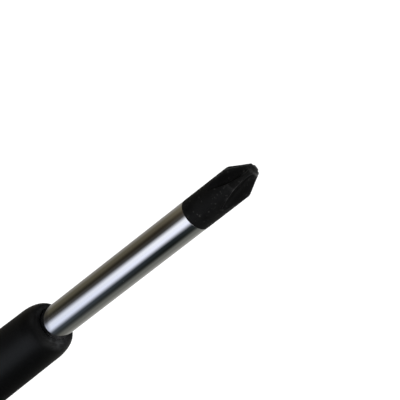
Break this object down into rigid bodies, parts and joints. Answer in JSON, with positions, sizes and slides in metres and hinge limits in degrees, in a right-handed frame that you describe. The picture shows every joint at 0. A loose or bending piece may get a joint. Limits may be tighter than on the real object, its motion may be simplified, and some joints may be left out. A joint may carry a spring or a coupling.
{
  "type": "cross-head screwdriver",
  "caption": "Fixed-blade cross-head screwdriver with a round chromed shank, a blackened cross tip, a slim neck and a soft-panelled handle with a hang hole in its end cap.",
  "frame": {"origin": "Centre of the butt's flat face, on the tool's axis.", "axes": "+Z along the blade towards the tip; one wing of the tip, one grip panel and the hang hole face -Y."},
  "size_m": [0.0282, 0.0276, 0.156],
  "materials": {
    "blade_steel": "bright chrome plate on the shank, matte black oxide on the tip",
    "hard_plastic": "satin black moulding",
    "soft_plastic": "soft-touch black moulding"
  },
  "bodies": {
    "root": {"blade": "blade_steel", "handle_core": "hard_plastic", "neck_sleeve": "soft_plastic", "grip_panel_1": "soft_plastic", "grip_panel_2": "soft_plastic", "grip_panel_3": "soft_plastic", "grip_panel_4": "soft_plastic", "grip_panel_5": "soft_plastic", "grip_panel_6": "soft_plastic", "end_cap": "hard_plastic"}
  },
  "joints": []
}
